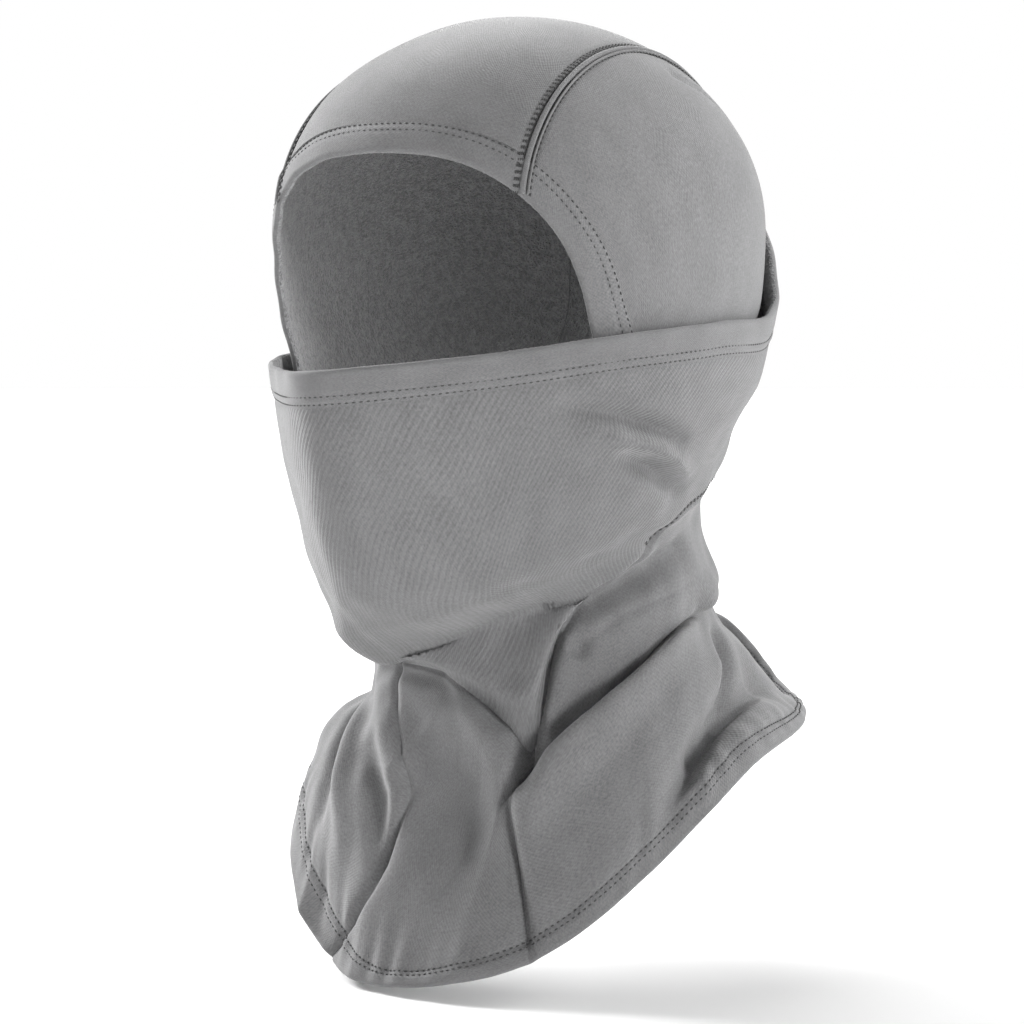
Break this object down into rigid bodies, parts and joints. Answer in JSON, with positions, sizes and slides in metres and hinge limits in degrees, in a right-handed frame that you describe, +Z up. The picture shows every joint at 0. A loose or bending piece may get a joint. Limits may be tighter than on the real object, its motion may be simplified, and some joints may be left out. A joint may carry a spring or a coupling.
{
  "type": "balaclava",
  "caption": "Full-head knitted hood with an arched face opening, a pull-up mask loop over nose and cheeks, a gathered neck and a flared bib.",
  "frame": {"origin": "inside of the crown, where the top of the wearer's head bears", "axes": "+Z up along the neck, the face looks along -Y, +X is the wearer's left"},
  "size_m": [0.1804, 0.2576, 0.3369],
  "materials": {
    "knit": "fine smooth grey jersey face, brushed fleece inside",
    "ribbed_knit": "grey knit with very fine diagonal ribs, brushed fleece inside",
    "hem": "the same grey knit folded double and pressed flat",
    "thread": "dark grey matt sewing thread"
  },
  "bodies": {
    "hood": {"crown_panel": "knit", "side_panel_left": "knit", "side_panel_right": "knit", "bib_left_panel": "knit", "bib_right_panel": "knit", "mask_panel": "ribbed_knit", "bib_front_panel": "ribbed_knit", "face_hem_top": "hem", "face_hem_left": "hem", "face_hem_right": "hem", "bib_hem_front": "hem", "bib_hem_left": "hem", "bib_hem_right": "hem", "crown_seam_thread_left": "thread", "crown_seam_thread_right": "thread", "face_hem_thread": "thread", "neck_seam_thread": "thread", "bib_hem_thread": "thread"},
    "mask": {"mask_hem": "hem", "mask_hem_thread": "thread"}
  },
  "joints": [
    {"name": "mask_pull_down", "type": "hinge", "parent": "hood", "child": "mask", "pos_m": [0, 0.116, -0.055], "axis": [1, 0, 0], "range_deg": [0, 9], "deforming": ["mask_panel"]}
  ]
}
